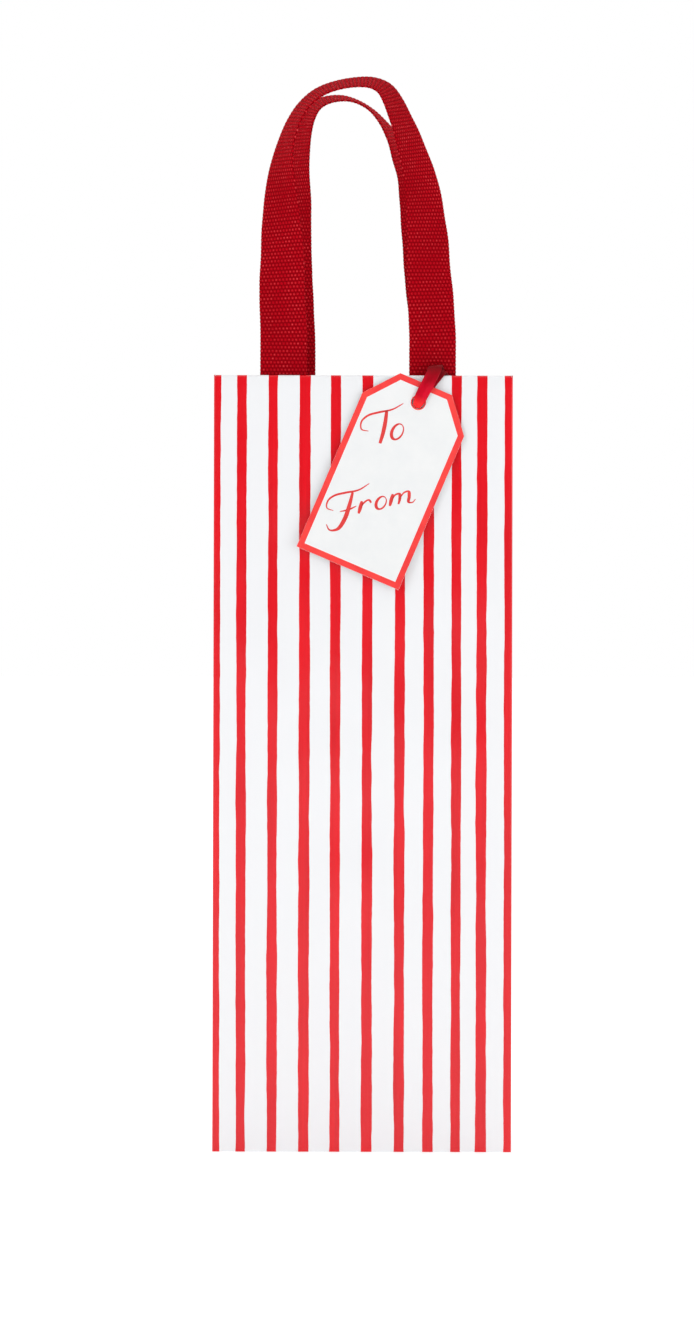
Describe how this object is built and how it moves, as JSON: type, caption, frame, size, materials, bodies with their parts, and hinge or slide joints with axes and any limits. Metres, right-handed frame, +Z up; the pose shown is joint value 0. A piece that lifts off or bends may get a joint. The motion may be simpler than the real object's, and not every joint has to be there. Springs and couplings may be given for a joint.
{
  "type": "wine gift bag",
  "caption": "Tall narrow striped paper gift bag for a bottle, with two woven webbing handles, folding side gussets and a ribbon-tied gift tag.",
  "frame": {"origin": "centre of the underside, on the surface the bag stands on", "axes": "+Z up along the bag, -Y out of the front face that carries the tag, +X to the right as seen from the front"},
  "size_m": [0.127, 0.1001, 0.4637],
  "materials": {
    "striped_paper": "glossy, printed with red stripes",
    "plain_paper": "uncoated white",
    "grey_board": "matte",
    "red_webbing": "woven",
    "red_satin": "satin",
    "tag_board": "smooth, printed border"
  },
  "bodies": {
    "front": {"front_panel": "striped_paper", "front_top_board": "grey_board", "front_hem": "striped_paper", "front_left_strap_end": "red_webbing", "front_right_strap_end": "red_webbing", "front_left_strap_patch": "plain_paper", "front_right_strap_patch": "plain_paper", "tag_ribbon_end": "red_satin"},
    "back": {"back_panel": "striped_paper", "back_top_board": "grey_board", "back_hem": "striped_paper", "back_left_strap_end": "red_webbing", "back_right_strap_end": "red_webbing", "back_left_strap_patch": "plain_paper", "back_right_strap_patch": "plain_paper", "side_seam_flap": "plain_paper"},
    "base": {"base_back_flap": "striped_paper", "base_front_flap": "striped_paper", "base_left_dust_flap": "plain_paper", "base_right_dust_flap": "plain_paper", "base_card": "grey_board"},
    "back_foot_lower": {"back_foot_lower": "striped_paper"},
    "back_foot_upper": {"back_foot_upper": "striped_paper"},
    "front_handle": {"front_handle_loop": "red_webbing"},
    "back_handle": {"back_handle_loop": "red_webbing"},
    "tag_ribbon": {"tag_ribbon": "red_satin"},
    "tag": {"tag_card": "tag_board"},
    "left_gusset_front": {"left_gusset_front_half": "striped_paper", "left_gusset_front_hem": "striped_paper"},
    "left_gusset_back": {"left_gusset_back_half": "striped_paper", "left_gusset_back_hem": "striped_paper"},
    "left_foot": {"left_foot_triangle": "striped_paper"},
    "left_heel_lower": {"left_heel_lower": "striped_paper"},
    "left_heel_upper": {"left_heel_upper": "striped_paper"},
    "right_gusset_front": {"right_gusset_front_half": "striped_paper", "right_gusset_front_hem": "striped_paper"},
    "right_gusset_back": {"right_gusset_back_half": "striped_paper", "right_gusset_back_hem": "striped_paper"},
    "right_foot": {"right_foot_triangle": "striped_paper"},
    "right_heel_lower": {"right_heel_lower": "striped_paper"},
    "right_heel_upper": {"right_heel_upper": "striped_paper"}
  },
  "joints": [
    {"name": "fold_flat", "type": "hinge", "parent": "front", "child": "left_gusset_front", "pos_m": [-0.06305, -0.04355, 0.18], "axis": [0, 0, -1], "range_deg": [0, 66]},
    {"name": "left_gusset_crease", "type": "hinge", "parent": "left_gusset_front", "child": "left_gusset_back", "pos_m": [-0.0635, 0, 0.18], "axis": [0, 0, 1], "range_deg": [0, 132.3]},
    {"name": "left_back_corner", "type": "hinge", "parent": "left_gusset_back", "child": "back", "pos_m": [-0.06305, 0.04355, 0.18], "axis": [0, 0, -1], "range_deg": [0, 66.3]},
    {"name": "right_front_corner", "type": "hinge", "parent": "front", "child": "right_gusset_front", "pos_m": [0.06305, -0.04355, 0.18], "axis": [0, 0, 1], "range_deg": [0, 66.3]},
    {"name": "right_gusset_crease", "type": "hinge", "parent": "right_gusset_front", "child": "right_gusset_back", "pos_m": [0.0635, 0, 0.18], "axis": [0, 0, -1], "range_deg": [0, 132.3]},
    {"name": "base_front_crease", "type": "hinge", "parent": "front", "child": "base", "pos_m": [0, -0.04355, 0.00095], "axis": [1, 0, 0], "range_deg": [0, 46.03]},
    {"name": "left_foot_crease", "type": "hinge", "parent": "base", "child": "left_foot", "pos_m": [-0.06305, 0, 0.00095], "axis": [0, 1, 0], "range_deg": [0, 66.3], "deforming": ["left_foot_triangle"]},
    {"name": "right_foot_crease", "type": "hinge", "parent": "base", "child": "right_foot", "pos_m": [0.06305, 0, 0.00095], "axis": [0, -1, 0], "range_deg": [0, 66.3], "deforming": ["right_foot_triangle"]},
    {"name": "base_back_crease", "type": "hinge", "parent": "base", "child": "back_foot_lower", "pos_m": [0, 0.04355, 0.00095], "axis": [1, 0, 0], "range_deg": [0, 46.13], "deforming": ["back_foot_lower"]},
    {"name": "back_panel_crease", "type": "hinge", "parent": "back", "child": "back_foot_upper", "pos_m": [0, 0.04355, 0.0445], "axis": [-1, 0, 0], "range_deg": [0, 177.64], "deforming": ["back_foot_upper"]},
    {"name": "left_heel_crease", "type": "hinge", "parent": "back_foot_lower", "child": "left_heel_lower", "pos_m": [-0.06305, 0.04355, 0.00095], "axis": [0, 0, 1], "range_deg": [0, 66.3], "deforming": ["left_heel_lower"]},
    {"name": "right_heel_crease", "type": "hinge", "parent": "back_foot_lower", "child": "right_heel_lower", "pos_m": [0.06305, 0.04355, 0.00095], "axis": [0, 0, -1], "range_deg": [0, 66.3], "deforming": ["right_heel_lower"]},
    {"name": "left_heel_top_crease", "type": "hinge", "parent": "left_gusset_back", "child": "left_heel_upper", "pos_m": [-0.06305, 0.022, 0.0445], "axis": [0, -1, 0], "range_deg": [0, 178.9], "deforming": ["left_heel_upper"]},
    {"name": "right_heel_top_crease", "type": "hinge", "parent": "right_gusset_back", "child": "right_heel_upper", "pos_m": [0.06305, 0.022, 0.0445], "axis": [0, 1, 0], "range_deg": [0, 178.9], "deforming": ["right_heel_upper"]},
    {"name": "front_handle_swing", "type": "hinge", "parent": "front", "child": "front_handle", "pos_m": [-0.002, -0.041, 0.34], "axis": [-1, 0, 0], "range_deg": [-115, 12]},
    {"name": "back_handle_swing", "type": "hinge", "parent": "back", "child": "back_handle", "pos_m": [-0.002, 0.041, 0.34], "axis": [-1, 0, 0], "range_deg": [-12, 150]},
    {"name": "tag_ribbon_lift", "type": "hinge", "parent": "front", "child": "tag_ribbon", "pos_m": [0.0305, -0.0443, 0.3332], "axis": [-1, 0, 0], "range_deg": [0, 115]},
    {"name": "tag_swing", "type": "hinge", "parent": "tag_ribbon", "child": "tag", "pos_m": [0.0233, -0.0454, 0.3183], "axis": [0, 1, 0], "range_deg": [-35, 25]}
  ],
  "couplings": [
    {"joint": "left_gusset_crease", "follows": "fold_flat", "ratio": 2},
    {"joint": "left_back_corner", "follows": "fold_flat", "ratio": 1},
    {"joint": "right_front_corner", "follows": "fold_flat", "ratio": 1},
    {"joint": "right_gusset_crease", "follows": "fold_flat", "ratio": 2},
    {"joint": "base_front_crease", "follows": "fold_flat", "ratio": 0.69292},
    {"joint": "left_foot_crease", "follows": "fold_flat", "ratio": 1},
    {"joint": "right_foot_crease", "follows": "fold_flat", "ratio": 1},
    {"joint": "base_back_crease", "follows": "fold_flat", "ratio": 0.69435},
    {"joint": "back_panel_crease", "follows": "fold_flat", "ratio": 2.6869},
    {"joint": "left_heel_crease", "follows": "fold_flat", "ratio": 1},
    {"joint": "right_heel_crease", "follows": "fold_flat", "ratio": 1},
    {"joint": "left_heel_top_crease", "follows": "fold_flat", "ratio": 2.706},
    {"joint": "right_heel_top_crease", "follows": "fold_flat", "ratio": 2.706}
  ]
}
